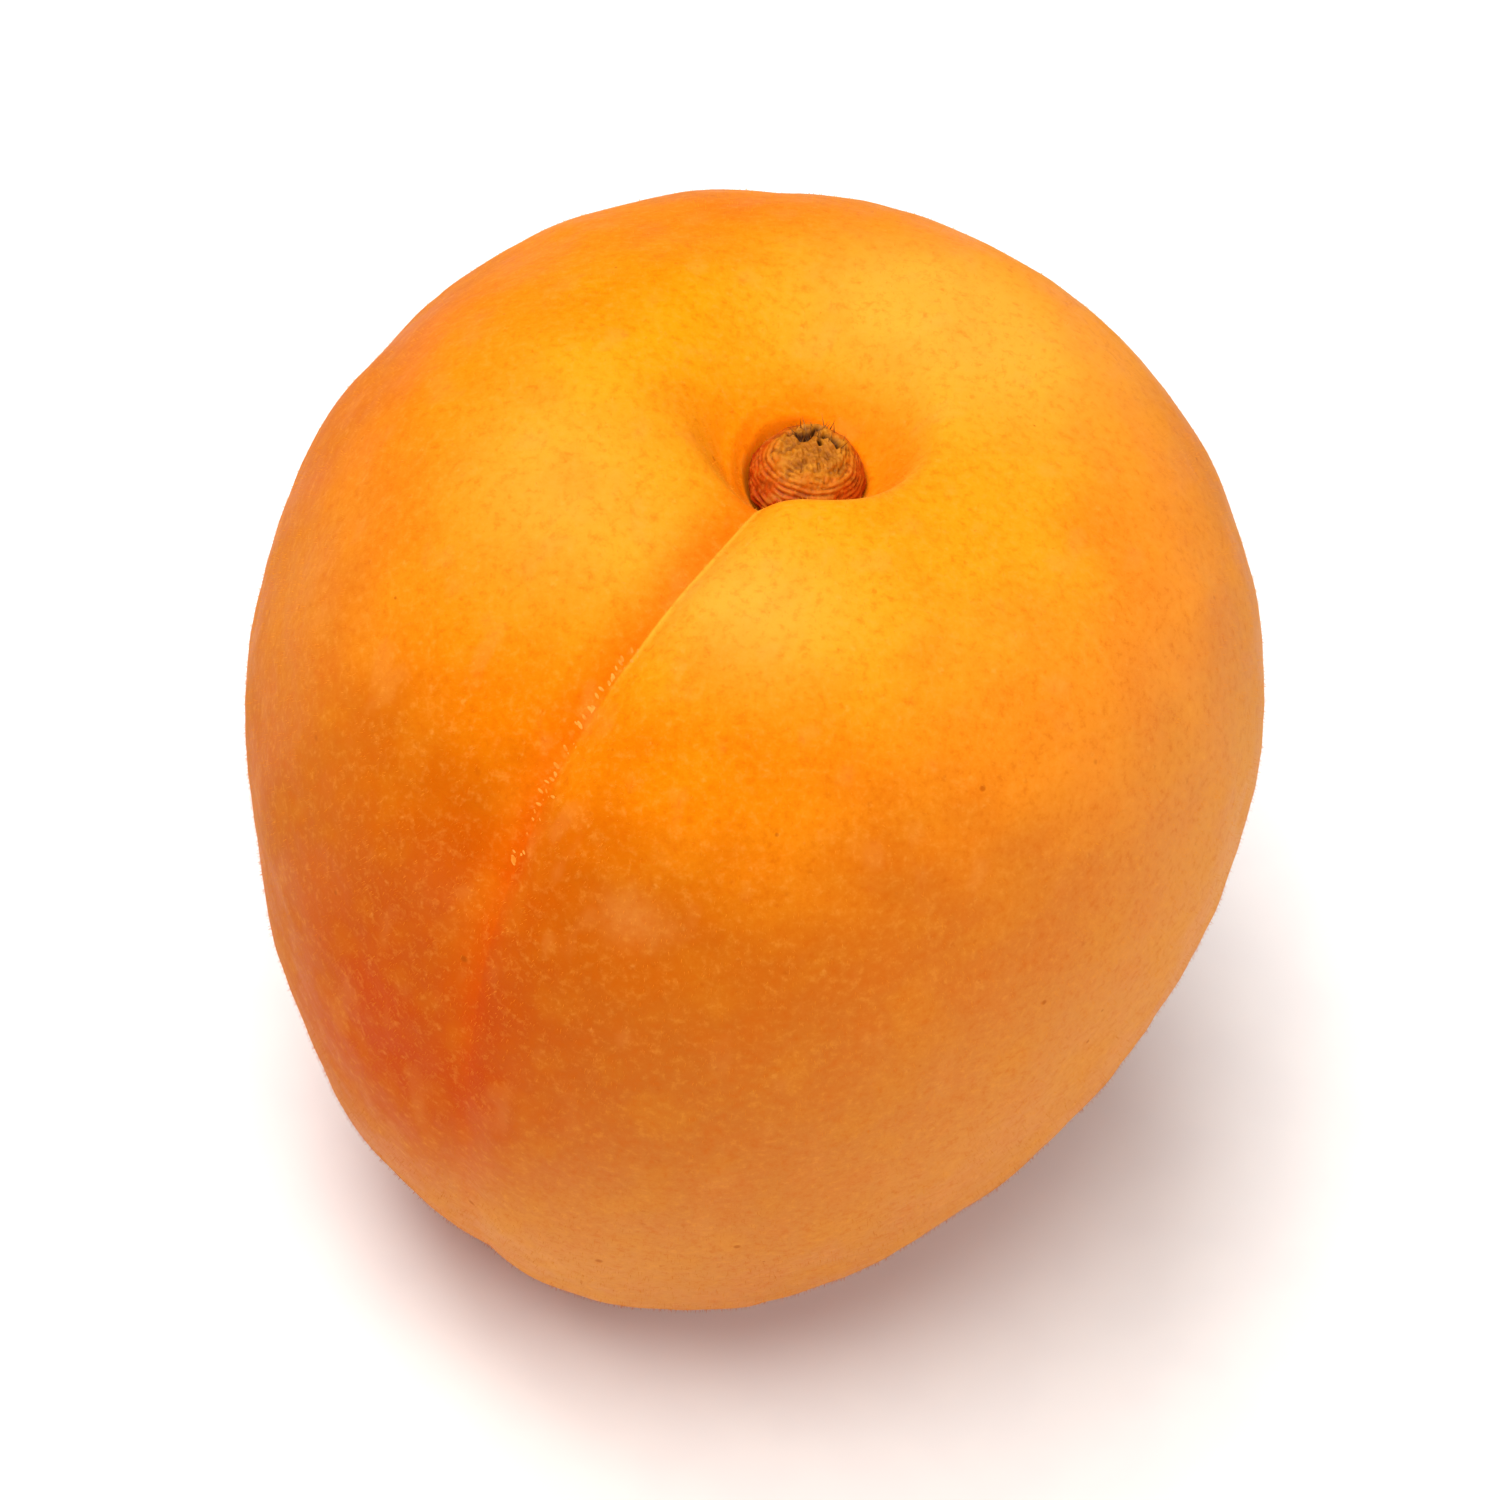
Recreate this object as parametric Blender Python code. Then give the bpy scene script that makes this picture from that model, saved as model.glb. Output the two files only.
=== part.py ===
"""A ripe apricot as picked, standing on its blossom end.

Two pieces: the fruit, skin and flesh in one, and the corky stub of the stalk in its stem cavity.
The fruit is a sphere bent by formula into two unequal lobes that meet along the suture.
World frame: metres, +Z up, the floor at Z = 0, the origin at the middle of the flat resting spot.
"""

import math

import bmesh
import bpy
from mathutils import Matrix, Vector

# Body of the fruit, in its own frame: X across the cheeks, the suture towards -Y, +Z up the stem axis
CHEEK_RADIUS = 0.0249
SUTURE_RADIUS = 0.0257
HALF_HEIGHT = 0.0271
SHOULDER_SWELL = 0.148
SUTURE_SIDE_FULLNESS = 0.022
STEM_END_FULLNESS = 0.827
BLOSSOM_END_FULLNESS = 0.798
BLOSSOM_END_SHIFT = 0.0031
BLOSSOM_END_SIDE_SHIFT = 0.0008

# Swellings and flats of the body: azimuth from the suture, angle from the stem axis, spread, height
SWELLINGS = (
    (math.radians(44), math.radians(34), math.radians(26), 0.00060),
    (math.radians(-46), math.radians(36), math.radians(28), 0.00062),
    (math.radians(170), math.radians(33), math.radians(24), 0.00045),
    (math.radians(133), math.radians(25), math.radians(15), -0.00035),
    (math.radians(-128), math.radians(27), math.radians(20), -0.00030),
    (math.radians(-140), math.radians(58), math.radians(30), 0.00040),
    (math.radians(96), math.radians(75), math.radians(34), 0.00028),
    (math.radians(-100), math.radians(90), math.radians(36), -0.00026),
    (math.radians(40), math.radians(125), math.radians(34), 0.00090),
    (math.radians(-50), math.radians(110), math.radians(34), -0.00125),
)

# Stem cavity: a wide dip towards the back, a pit whose wall is steep at the lip, a socket for the stub
DIP_DEPTH = 0.0018
DIP_RADIUS = 0.0115
DIP_OFFSET = 0.0030
PIT_DEPTH = 0.0045
PIT_RADIUS_AT_LIP = 0.0045
PIT_RADIUS_BEHIND = 0.0062
PIT_STEEPNESS_AT_LIP = 6.0
PIT_STEEPNESS_BEHIND = 1.4
LIP_AZIMUTH = math.radians(50)
LIP_REACH = 1.4
SOCKET_DEPTH = 0.0025
SOCKET_RADIUS = 0.00375
SOCKET_STEEPNESS = 8.0

# Suture: a crease from the pit to the blossom end, gentle on one lobe and steep on the other
SUTURE_DEPTH_AT_STEM = 0.0023
SUTURE_DEPTH_AT_WAIST = 0.0005
SUTURE_DEPTH_AT_BLOSSOM = 0.0008
SUTURE_GENTLE_WIDTH = 0.0056
SUTURE_STEEP_WIDTH = 0.0019
SUTURE_SHARPNESS = 1.3
SUTURE_DEEPENING = 2.0
SUTURE_START = 0.0034
SUTURE_SIDE_FADE = 0.5
SUTURE_BEND = math.radians(-3)

# Resting pose: the suture turned from the front, the stem axis leaning, the underside pressed flat
SUTURE_YAW = math.radians(-26.8)
LEAN_RIGHT = math.radians(5.7)
LEAN_BACK = math.radians(3.5)
FLAT_SPOT_DEPTH = 0.0008
FLAT_SPOT_WELD = 0.0002

# Stalk stub: radius and height up its outline, from the root to the torn top
STUB_OUTLINE = (
    (0.00220, 0.0000),
    (0.00252, 0.0005),
    (0.00276, 0.0010),
    (0.00292, 0.0015),
    (0.00294, 0.0020),
    (0.00282, 0.0025),
    (0.00257, 0.0029),
    (0.00218, 0.0033),
    (0.00168, 0.0036),
    (0.00108, 0.0036),
)
STUB_TOP_HOLLOW = 0.0031
STUB_RING_DEPTH = 0.00005
STUB_RING_SPACING = 0.0010
STUB_RING_WANDER = 1.3
STUB_OUT_OF_ROUND = 0.04
STUB_GAP = 0.0003

SEGMENTS = 72
RINGS = 50
STUB_SEGMENTS = 28
SEGMENT_CROWDING = 0.62
RING_CROWDING = 1.5
MERGE_DISTANCE = 1e-6


def clear_scene():
    for old in list(bpy.data.objects):
        bpy.data.objects.remove(old)


def blend(start, end, share):
    return start + (end - start) * share


def angle_between(azimuth, polar, other_azimuth, other_polar):
    """Angle on the unit sphere between two directions."""
    cosine = math.cos(polar) * math.cos(other_polar)
    cosine += math.sin(polar) * math.sin(other_polar) * math.cos(azimuth - other_azimuth)
    return math.acos(max(-1.0, min(1.0, cosine)))


def girth(polar):
    """How wide the body is at an angle from the stem axis, as a share of its radius."""
    down = (1 - math.cos(polar)) / 2
    fullness = blend(STEM_END_FULLNESS, BLOSSOM_END_FULLNESS, down)
    return max(math.sin(polar), 0.0) ** fullness * (1 + SHOULDER_SWELL * math.cos(polar))


def body_point(polar, azimuth):
    """The plump body with no cavity or suture. Azimuth 0 is the suture's side."""
    down = (1 - math.cos(polar)) / 2
    towards_suture = math.cos(azimuth) * (1 + SUTURE_SIDE_FULLNESS * math.cos(azimuth))
    x = CHEEK_RADIUS * girth(polar) * math.sin(azimuth) - BLOSSOM_END_SIDE_SHIFT * down**2
    y = -SUTURE_RADIUS * girth(polar) * towards_suture - BLOSSOM_END_SHIFT * down**2
    return Vector((x, y, HALF_HEIGHT * math.cos(polar)))


def swelling(polar, azimuth):
    """The low bulges and flats that keep the fruit from being a plain turned form."""
    height = 0.0
    for swell_azimuth, swell_polar, spread, rise in SWELLINGS:
        away = angle_between(azimuth, polar, swell_azimuth, swell_polar)
        height += rise * math.exp(-((away / spread) ** 2))
    return height


def cavity_drop(x, y):
    """How far the stem end is sunk at a place beside the stem axis."""
    behind = ((1 - math.cos(math.atan2(x, -y) - LIP_AZIMUTH)) / 2) ** LIP_REACH
    pit_radius = blend(PIT_RADIUS_AT_LIP, PIT_RADIUS_BEHIND, behind)
    steepness = blend(PIT_STEEPNESS_AT_LIP, PIT_STEEPNESS_BEHIND, behind)
    pit = PIT_DEPTH * math.exp(-((math.hypot(x, y) / pit_radius) ** steepness))
    dip = DIP_DEPTH * math.exp(-((math.hypot(x, y - DIP_OFFSET) / DIP_RADIUS) ** 2))
    socket = SOCKET_DEPTH * math.exp(-((math.hypot(x, y) / SOCKET_RADIUS) ** SOCKET_STEEPNESS))
    return pit + dip + socket


def suture_drop(polar, azimuth):
    """Depth of the crease at a place on the body. The lobe at +X is the steep one."""
    if math.cos(azimuth) < 0:
        return 0.0
    radius = CHEEK_RADIUS * girth(polar)
    offset = radius * math.sin(azimuth - SUTURE_BEND * math.sin(2 * polar))
    end_depth = SUTURE_DEPTH_AT_STEM if polar < math.pi / 2 else SUTURE_DEPTH_AT_BLOSSOM
    depth = blend(SUTURE_DEPTH_AT_WAIST, end_depth, abs(math.cos(polar)) ** SUTURE_DEEPENING)
    width = SUTURE_STEEP_WIDTH if offset > 0 else SUTURE_GENTLE_WIDTH
    started = 1 - math.exp(-((radius / SUTURE_START) ** 2))
    front = math.cos(azimuth) ** SUTURE_SIDE_FADE
    return depth * started * front * math.exp(-((abs(offset) / width) ** SUTURE_SHARPNESS))


def skin_point(polar, azimuth):
    """The fruit's surface in its own frame."""
    point = body_point(polar, azimuth)
    point += point.normalized() * (swelling(polar, azimuth) - suture_drop(polar, azimuth))
    if polar < math.pi / 2:
        point.z -= cavity_drop(point.x, point.y)
    return point


def resting_turn():
    """Turns the fruit's own frame to its resting pose. The suture faces front, a little to the left."""
    yaw = Matrix.Rotation(SUTURE_YAW, 4, "Z")
    lean = Matrix.Rotation(LEAN_RIGHT, 4, "Y") @ Matrix.Rotation(-LEAN_BACK, 4, "X")
    return lean @ yaw


def crowded_azimuth(azimuth):
    """Draws the segments in towards the suture."""
    return azimuth - SEGMENT_CROWDING * math.sin(azimuth)


def crowded_polar(polar):
    """Draws the rings in towards the stem end."""
    return math.pi * (polar / math.pi) ** RING_CROWDING


def fruit_mesh():
    """A sphere primitive, crowded at the suture and the stem end and bent to the skin."""
    mesh = bmesh.new()
    bmesh.ops.create_uvsphere(mesh, u_segments=SEGMENTS, v_segments=RINGS, radius=1)
    turn = resting_turn()
    for vertex in mesh.verts:
        polar = crowded_polar(math.acos(max(-1.0, min(1.0, vertex.co.z))))
        azimuth = crowded_azimuth(math.atan2(vertex.co.x, -vertex.co.y))
        vertex.co = turn @ skin_point(polar, azimuth)
    for face in mesh.faces:
        face.smooth = True
    return mesh


def press_flat(mesh):
    """Cuts the underside level and returns the middle of the flat spot."""
    level = min(vertex.co.z for vertex in mesh.verts) + FLAT_SPOT_DEPTH
    bmesh.ops.bisect_plane(
        mesh,
        geom=mesh.verts[:] + mesh.edges[:] + mesh.faces[:],
        plane_co=(0, 0, level),
        plane_no=(0, 0, -1),
        clear_outer=True,
    )
    low = [vertex for vertex in mesh.verts if vertex.co.z < level + FLAT_SPOT_WELD]
    bmesh.ops.remove_doubles(mesh, verts=low, dist=FLAT_SPOT_WELD)
    rim = [edge for edge in mesh.edges if edge.is_boundary]
    for edge in rim:
        edge.smooth = False
        for vertex in edge.verts:
            vertex.co.z = level
    flat = bmesh.ops.contextual_create(mesh, geom=rim)["faces"][0]
    return flat.calc_center_median_weighted()


def stub_mesh():
    """The stub's outline spun round the stem axis, ringed round its side and hollow at its torn top."""
    mesh = bmesh.new()
    profile = [mesh.verts.new((radius, 0, height)) for radius, height in STUB_OUTLINE]
    edges = [mesh.edges.new(pair) for pair in zip(profile, profile[1:])]
    bmesh.ops.spin(
        mesh,
        geom=profile + edges,
        cent=(0, 0, 0),
        axis=(0, 0, 1),
        angle=2 * math.pi,
        steps=STUB_SEGMENTS,
        use_merge=True,
    )
    bmesh.ops.remove_doubles(mesh, verts=mesh.verts, dist=MERGE_DISTANCE)
    for vertex in mesh.verts:
        azimuth = math.atan2(vertex.co.y, vertex.co.x)
        wander = STUB_RING_WANDER * math.sin(2 * azimuth)
        ring = STUB_RING_DEPTH * math.sin(2 * math.pi * vertex.co.z / STUB_RING_SPACING + wander)
        oval = STUB_OUT_OF_ROUND * math.cos(2 * azimuth)
        scale = 1 + oval + ring / math.hypot(vertex.co.x, vertex.co.y)
        vertex.co.x *= scale
        vertex.co.y *= scale
    rims = [edge for edge in mesh.edges if edge.is_boundary]
    root = [edge for edge in rims if edge.verts[0].co.z < STUB_TOP_HOLLOW / 2]
    top = [edge for edge in rims if edge not in root]
    bmesh.ops.contextual_create(mesh, geom=root)
    torn = bmesh.ops.contextual_create(mesh, geom=top)["faces"][0]
    middle = bmesh.ops.poke(mesh, faces=[torn])["verts"][0]
    middle.co.z = STUB_TOP_HOLLOW
    bmesh.ops.recalc_face_normals(mesh, faces=mesh.faces)
    for face in mesh.faces:
        face.smooth = True
    return mesh


def stub_seat():
    """Height on the stem axis where the whole stub clears the pit's floor and wall."""
    heights = []
    for radius, height in STUB_OUTLINE:
        reach = radius * (1 + STUB_OUT_OF_ROUND) + STUB_GAP
        for step in range(STUB_SEGMENTS):
            azimuth = 2 * math.pi * step / STUB_SEGMENTS
            floor = HALF_HEIGHT - cavity_drop(reach * math.sin(azimuth), reach * math.cos(azimuth))
            heights.append(floor - height)
    return max(heights) + STUB_GAP


def skin_material():
    material = bpy.data.materials.new("apricot_skin")
    material.use_nodes = True
    shader = material.node_tree.nodes["Principled BSDF"]
    shader.inputs["Base Color"].default_value = (0.86, 0.30, 0.02, 1)
    shader.inputs["Roughness"].default_value = 0.5
    shader.inputs["Metallic"].default_value = 0.0
    return material


def cork_material():
    material = bpy.data.materials.new("stalk_cork")
    material.use_nodes = True
    shader = material.node_tree.nodes["Principled BSDF"]
    shader.inputs["Base Color"].default_value = (0.22, 0.07, 0.02, 1)
    shader.inputs["Roughness"].default_value = 0.8
    shader.inputs["Metallic"].default_value = 0.0
    return material


def add_object(name, mesh, material):
    data = bpy.data.meshes.new(name)
    mesh.to_mesh(data)
    mesh.free()
    data.materials.append(material)
    made = bpy.data.objects.new(name, data)
    bpy.context.scene.collection.objects.link(made)
    return made


def main():
    clear_scene()
    fruit = fruit_mesh()
    rest_point = press_flat(fruit)
    fruit.transform(Matrix.Translation(-rest_point))
    add_object("fruit", fruit, skin_material())

    stub = add_object("stalk_stub", stub_mesh(), cork_material())
    stub.matrix_world = (
        Matrix.Translation(-rest_point) @ resting_turn() @ Matrix.Translation((0, 0, stub_seat()))
    )


main()
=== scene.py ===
"""One ripe apricot with the stub of its stalk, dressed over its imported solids.

The skin is a fine mesh bent by the same formula as the solid, with a pocket that holds the stub close.
The stub is a ringed, pitted cork form. Geometry Nodes set the pale flecks along the suture, the down on
the skin and the torn fibres on the stub. Colours come from attributes that are worked out with the shape.
"""

import math

import bmesh
import bpy
import numpy as np
from mathutils import Matrix, Vector


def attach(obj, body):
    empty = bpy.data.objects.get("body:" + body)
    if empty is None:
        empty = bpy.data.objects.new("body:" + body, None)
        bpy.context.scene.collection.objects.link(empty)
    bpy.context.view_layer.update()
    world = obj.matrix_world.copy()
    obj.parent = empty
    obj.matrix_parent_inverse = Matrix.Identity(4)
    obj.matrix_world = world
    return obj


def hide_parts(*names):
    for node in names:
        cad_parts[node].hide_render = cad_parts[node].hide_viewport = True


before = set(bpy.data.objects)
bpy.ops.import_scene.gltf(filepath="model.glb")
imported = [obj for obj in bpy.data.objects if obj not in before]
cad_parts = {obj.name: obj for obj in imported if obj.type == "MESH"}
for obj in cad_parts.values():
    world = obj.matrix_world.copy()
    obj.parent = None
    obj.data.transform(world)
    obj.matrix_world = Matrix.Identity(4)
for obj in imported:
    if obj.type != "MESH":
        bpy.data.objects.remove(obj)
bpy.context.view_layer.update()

MM = 0.001

# Body of the fruit, in its own frame: X across the cheeks, the suture towards -Y, +Z up the stem axis
CHEEK_RADIUS = 0.0249
SUTURE_RADIUS = 0.0257
HALF_HEIGHT = 0.0271
SHOULDER_SWELL = 0.148
SUTURE_SIDE_FULLNESS = 0.022
STEM_END_FULLNESS = 0.827
BLOSSOM_END_FULLNESS = 0.798
BLOSSOM_END_SHIFT = 0.0031
BLOSSOM_END_SIDE_SHIFT = 0.0008

# Swellings and flats of the body: azimuth from the suture, angle from the stem axis, spread, height
SWELLINGS = (
    (44, 34, 26, 0.00060),
    (-46, 36, 28, 0.00062),
    (170, 33, 24, 0.00045),
    (133, 25, 15, -0.00035),
    (-128, 27, 20, -0.00030),
    (-140, 58, 30, 0.00040),
    (96, 75, 34, 0.00028),
    (-100, 90, 36, -0.00026),
    (40, 125, 34, 0.00090),
    (-50, 110, 34, -0.00125),
)

# Stem cavity: a wide dip towards the back, a pit whose wall is steep at the lip, a close pocket for the stub
DIP_DEPTH = 0.0018
DIP_RADIUS = 0.0115
DIP_OFFSET = 0.0030
PIT_DEPTH = 0.0045
PIT_RADIUS_AT_LIP = 0.0045
PIT_RADIUS_BEHIND = 0.0062
PIT_STEEPNESS_AT_LIP = 6.0
PIT_STEEPNESS_BEHIND = 1.4
LIP_AZIMUTH = math.radians(50)
LIP_REACH = 1.4
POCKET_DEPTH = 0.0009
POCKET_RADIUS = 0.00298
POCKET_STEEPNESS = 16.0
FOLD_HEIGHT = 0.00020
FOLD_RADIUS = 0.0039
FOLD_WIDTH = 0.00042
FOLD_AZIMUTH = math.radians(-65)
FOLD_REACH = 3.0
# Painted highlight along the lip: its distance from the stem axis, width and spread round the lip
LIP_HIGHLIGHT_RADIUS = 0.0052
LIP_HIGHLIGHT_WIDTH = 0.00035
LIP_HIGHLIGHT_SPREAD = math.radians(62)

# Suture: a crease from the pit to the blossom end, gentle on one lobe and steep on the other
SUTURE_DEPTH_AT_STEM = 0.0023
SUTURE_DEPTH_AT_WAIST = 0.0005
SUTURE_DEPTH_AT_BLOSSOM = 0.0008
SUTURE_GENTLE_WIDTH = 0.0056
SUTURE_STEEP_WIDTH = 0.0019
SUTURE_STEEP_WIDTH_AT_STEM = 0.0012
SUTURE_SHARPNESS = 1.3
SUTURE_DEEPENING = 2.0
SUTURE_START = 0.0034
SUTURE_SIDE_FADE = 0.5
SUTURE_BEND = math.radians(-3)

# Blossom end: the small dark point where the flower sat
SCAR_RADIUS = 0.0009
SCAR_DEPTH = 0.0005

# Patches laid on the skin's colour, some of them painted light, sheen and shade: azimuth from the suture,
# angle from the stem axis, spread, strength
# Blush: the skin's own red, and low on the left also painted shade and painted red light from a neighbouring
# fruit
BLUSH_AND_SHADE_PATCHES = (
    (-5, 84, 16, 1.00),
    (-16, 101, 21, 0.60),
    (-6, 62, 11, 0.45),
    (-133, 29, 9, 0.35),
    (-150, 88, 30, 0.42),
)
# Pale patches: painted highlights on the shoulders round the stem cavity, and painted light on the left
# flank
PAINTED_LIGHT_PATCHES = (
    (-38, 24, 12, 0.75),
    (-50, 58, 15, 0.40),
    (178, 17, 12, 1.00),
    (150, 30, 16, 0.60),
    (17, 21, 8, 0.95),
    (62, 26, 12, 0.25),
)
# Peach patches: the wide ones on the right and low down are painted sheen
PEACH_AND_SHEEN_PATCHES = (
    (68, 92, 34, 0.75),
    (104, 64, 26, 0.90),
    (12, 118, 28, 0.80),
    (13.5, 58, 3.2, 0.45),
    (-9, 67, 5.0, 0.30),
)

# Resting pose of the body
SUTURE_YAW = math.radians(-26.8)
LEAN_RIGHT = math.radians(5.7)
LEAN_BACK = math.radians(3.5)
BODY_CENTRE = Vector((0.00187, 0.00252, 0.02607))
PRESS_SOFTNESS = 0.00012

# Skin mesh: segments round it, rings down it, and where the rings lie, as ring share and degrees
SKIN_SEGMENTS = 352
SKIN_RINGS = 264
RING_SHARES = (0.0, 0.07, 0.27, 0.44, 1.0)
RING_DEGREES = (0.0, 2.5, 9.0, 26.0, 180.0)
SEGMENT_CROWDING = 0.5

# Dents and ripples too low to see one by one: height and size
DENT_HEIGHT = 0.00009
DENT_SIZE = 0.0085
RIPPLE_HEIGHT = 0.000022
RIPPLE_SIZE = 0.0019
CALM_RADIUS = 0.005

# Soft noise: waves in a sum and how far their lengths differ, then the size and strength of each octave
NOISE_WAVES = 18
NOISE_LENGTHS = (0.7, 1.6)
CLOUD_OCTAVES = ((1.0, 1.0), (0.48, 0.6), (0.23, 0.35))
CLOUD_CONTRAST = 0.22

# A distance beyond any on the fruit, given to the half that a feature doesn't reach
FAR_OFF = 0.05

# Blotches of colour in the skin: their sizes, and how much of the blush breaks up at its edge
DRIFT_SIZE = 0.012
CLOUD_SIZE = 0.0042
STREAK_SIZE = 0.0046
STREAK_SQUEEZE = (1.5, 1.5, 0.75)
BLUSH_EDGE_SIZE = 0.0075
BLUSH_EVEN_SHARE = 0.65
BLUSH_RAGGED_SHARE = 0.6

# Stalk stub: radius and height up its outline, from the torn top's middle to the root
STUB_SEAT = 0.01995
STUB_HEIGHT = 0.0036
STUB_OUTLINE = (
    (0.00000, 0.00356),
    (0.00060, 0.00357),
    (0.00108, 0.00352),
    (0.00150, 0.00337),
    (0.00188, 0.00312),
    (0.00222, 0.00278),
    (0.00253, 0.00235),
    (0.00278, 0.00188),
    (0.00292, 0.00140),
    (0.00288, 0.00095),
    (0.00262, 0.00050),
    (0.00220, 0.00000),
    (0.00000, 0.00000),
)
STUB_SEGMENTS = 200
STUB_RINGS = 150
STUB_OUT_OF_ROUND = 0.04
STUB_SIDE_RADIUS = 0.0029
STUB_CROWN_RADIUS = 0.0023
OUTLINE_STEPS = 240
OUTLINE_ROUNDS = 20
RIDGE_SPACING = 0.00030
RIDGE_HEIGHT = 0.000045
RIDGE_WANDER_SIZE = 0.0019
RIDGE_BREAK_SIZE = 0.0011
SCALE_HEIGHT = 0.00008
SCALE_SIZE = 0.0013
CRUMBLE_HEIGHT = 0.00011
CRUMBLE_SIZE = 0.0009
PIT_HOLE_DEPTH = 0.00070
PIT_EDGE_SIZE = 0.0005
PIT_EDGE_RAGGEDNESS = 0.40

# Pits in the torn top: to the right, to the front, width
TORN_PITS = (
    (-0.00048, -0.00100, 0.00048),
    (0.00088, -0.00098, 0.00038),
    (0.00022, -0.00172, 0.00024),
    (-0.00125, -0.00100, 0.00020),
)

# Pale flecks along the suture: how many, and the angles from the stem axis that they gather at
FLECK_COUNT = 46
FLECK_SIZE = (0.00020, 0.00008, 0.000018)
FLECK_SINK = 0.000006
FLECK_GROUPS = (31.0, 33.5, 38.0, 40.5, 43.8, 48.0, 52.0, 57.0)
FLECK_GROUP_SPREAD = 1.3
FLECK_SIDE_MM = (-0.05, 0.22)
FLECK_SLANT = (0.45, 0.35)

# Down on the skin: how many hairs, their length and radius, and where they stop
DOWN_COUNT = 42000
DOWN_LENGTH = 0.00020
DOWN_RADIUS = 0.000009
DOWN_FLOOR = 0.0004
DOWN_STEM_MM = 3.4
DOWN_DROOP = 0.5
DOWN_UNEVENNESS = 0.25

# Torn fibres on the stub
FIBRE_COUNT = 46
FIBRE_LENGTH = 0.00075
FIBRE_RADIUS = 0.00004
FIBRE_ROOT = 0.0001
FIBRE_SPLAY = 0.35
FIBRE_UNEVENNESS = 0.30
FIBRE_BAND_MM = (0.7, 2.0)
FIBRE_LEAST_SHARE = 0.02

# Scattered shapes: how far their sizes differ, their seed, and the step that finds the skin's direction
SCATTER_SCALES = (0.6, 1.25)
SCATTER_SEED = 7
SKIN_STEP = 1e-3

# Colours of the flesh from the stem end, at 0, to the blossom end, at 1, yellower above as the skin is and
# darker below partly as painted shade, and colours laid over it
FLESH_AND_SHADE_TONES = (
    (0.00, (0.80, 0.270, 0.0003)),
    (0.08, (0.77, 0.205, 0.0003)),
    (0.24, (0.56, 0.113, 0.0003)),
    (0.46, (0.51, 0.110, 0.005)),
    (0.76, (0.50, 0.125, 0.018)),
    (1.00, (0.56, 0.095, 0.001)),
)
# Peach tone, laid on as painted sheen on the right and low down
PEACH_AND_SHEEN = (0.84, 0.37, 0.085)
# Blush red, low on the left also painted shade and painted red light from a neighbouring fruit
BLUSH_AND_SHADE_RED = (0.54, 0.056, 0.0003)
# Pale yellow of the painted highlights and the painted light
PAINTED_LIGHT_YELLOW = (0.84, 0.36, 0.040)
# Stem pit: the skin's own deeper orange, made brighter as painted light against the pit's shade
PIT_ORANGE_AND_LIGHT = (0.86, 0.180, 0.0003)
# Painted light: bright orange on the skin close round the stub, where the pocket lies in shade
POCKET_PAINTED_LIGHT = (0.95, 0.240, 0.001)
# Light gold of the painted highlight along the lip
LIP_HIGHLIGHT_GOLD = (0.88, 0.38, 0.04)
# Deeper orange of the painted shade on the suture's gentle slope
SLOPE_SHADE_ORANGE = (0.74, 0.125, 0.0003)
LINE_RED = (0.66, 0.060, 0.0003)
# Light yellow of the painted highlight on the suture's steep edge
EDGE_HIGHLIGHT_YELLOW = (0.92, 0.46, 0.04)
CLOUD_LIGHT = (0.80, 0.30, 0.012)
CLOUD_DEEP = (0.66, 0.105, 0.0005)
GRAIN_LIGHT = (0.82, 0.33, 0.045)
GRAIN_DEEP = (0.58, 0.098, 0.0005)
STREAK_PALE = (0.78, 0.30, 0.060)
PORE_DEEP = (0.40, 0.060, 0.001)
PORE_LIGHT = (0.84, 0.38, 0.070)
FRECKLE_BROWN = (0.40, 0.065, 0.0005)
SCAR_BROWN = (0.06, 0.025, 0.01)

# Grain, pores and freckles of the skin: size, or spacing and radius
GRAIN_SIZE = 0.00050
PORE_SPACING = 0.0009
PORE_RADIUS = 0.00018
FRECKLE_SPACING = 0.0032
FRECKLE_RADIUS = 0.00021
BUMP_HEIGHT = 0.00008

# Colours of the cork from the torn top, at 0, to the root, at 1, and colours laid over it
CORK_TONES = (
    (0.00, (0.38, 0.110, 0.003)),
    (0.12, (0.50, 0.160, 0.004)),
    (0.30, (0.54, 0.130, 0.002)),
    (0.50, (0.50, 0.072, 0.001)),
    (1.00, (0.34, 0.024, 0.0004)),
)
RIDGE_GOLD = (0.60, 0.21, 0.018)
# Near black of the painted shade in the grooves between the rings
GROOVE_SHADE_BROWN = (0.09, 0.010, 0.001)
CRUMB_GOLD = (0.68, 0.28, 0.020)
CRUMB_BROWN = (0.07, 0.010, 0.001)
# Dark brown of the painted shade in the crumbled recesses
RECESS_SHADE_BROWN = (0.12, 0.020, 0.001)
KNOB_OLIVE = (0.48, 0.165, 0.010)
PIT_BROWN = (0.050, 0.009, 0.0005)
CORK_BLOTCH_SIZE = 0.0011
CORK_CRUMB_SIZE = 0.00030
CORK_FIBRE_SIZE = 0.00016

# The two tones that each other finish wavers between, and the size of their mottle
FLECK_TONES = ((0.80, 0.20, 0.010), (0.86, 0.30, 0.040))
FLECK_MOTTLE = 0.0004
DEEP_DOWN_TONES = ((0.56, 0.13, 0.003), (0.66, 0.19, 0.012))
LIGHT_DOWN_TONES = ((0.74, 0.21, 0.003), (0.84, 0.31, 0.014))
DOWN_MOTTLE = 0.003
DOWN_TONE_HEIGHTS = (0.020, 0.044)
FIBRE_TONES = ((0.13, 0.030, 0.002), (0.42, 0.160, 0.020))
FIBRE_MOTTLE = 0.0005
PAPER_TONES = ((0.93, 0.93, 0.93), (0.95, 0.95, 0.945))
PAPER_MOTTLE = 0.004

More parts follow.
